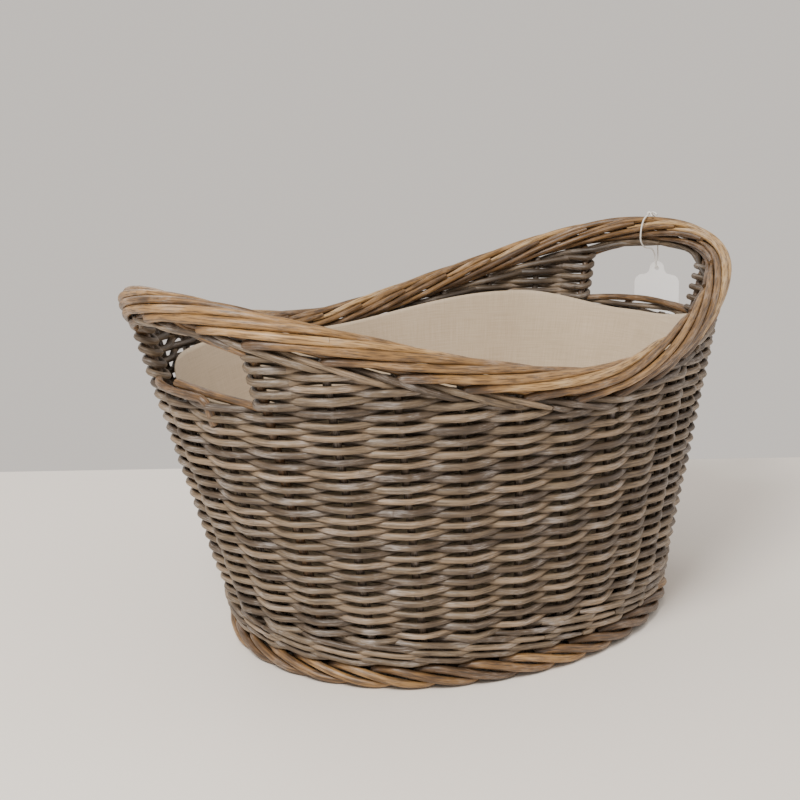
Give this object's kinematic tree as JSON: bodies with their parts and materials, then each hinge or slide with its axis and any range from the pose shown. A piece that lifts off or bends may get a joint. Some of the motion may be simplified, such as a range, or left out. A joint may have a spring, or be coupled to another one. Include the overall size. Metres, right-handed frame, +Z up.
{
  "type": "wicker log basket",
  "caption": "Oval wicker log basket with a dipped rolled border, a hand hole in each end, a cloth liner and a blank swing tag.",
  "frame": {"origin": "centre of the foot at the level the basket stands on", "axes": "+X along the basket's length towards the end that carries the tag, +Y to the back, +Z up"},
  "size_m": [0.6144, 0.3806, 0.3158],
  "materials": {
    "grey_willow": "rough, limewashed grey-brown bark",
    "tan_willow": "satin, tan-brown bark",
    "linen": "plain-woven natural linen",
    "string": "twisted white string",
    "card": "matt white card"
  },
  "bodies": {
    "basket": {"foot_border": "tan_willow", "base_cross_sticks": "grey_willow", "base_long_sticks": "grey_willow", "base_weave": "grey_willow", "bottom_wale": "grey_willow", "stakes_front": "grey_willow", "stakes_back": "grey_willow", "stakes_left_end": "grey_willow", "stakes_right_end": "grey_willow", "left_handle_posts": "tan_willow", "right_handle_posts": "tan_willow", "weave_front": "grey_willow", "weave_back": "grey_willow", "weave_left_end": "grey_willow", "weave_right_end": "grey_willow", "left_front_cheek": "grey_willow", "left_back_cheek": "grey_willow", "right_front_cheek": "grey_willow", "right_back_cheek": "grey_willow", "left_sill": "tan_willow", "right_sill": "tan_willow", "top_wale_front": "grey_willow", "top_wale_back": "grey_willow", "border_front": "tan_willow", "border_back": "tan_willow", "liner_sides": "linen", "liner_base": "linen"},
    "string": {"tag_string": "string"},
    "tag": {"swing_tag": "card"}
  },
  "joints": [
    {"name": "string_swing", "type": "hinge", "parent": "basket", "child": "string", "pos_m": [0.28833, 0.01378, 0.3017], "axis": [0.0976, -0.9952, 0], "range_deg": [0, 40]},
    {"name": "tag_twist", "type": "hinge", "parent": "string", "child": "tag", "pos_m": [0.30276, 0.0152, 0.2597], "axis": [0, 0, 1], "range_deg": [-50, 0]}
  ]
}
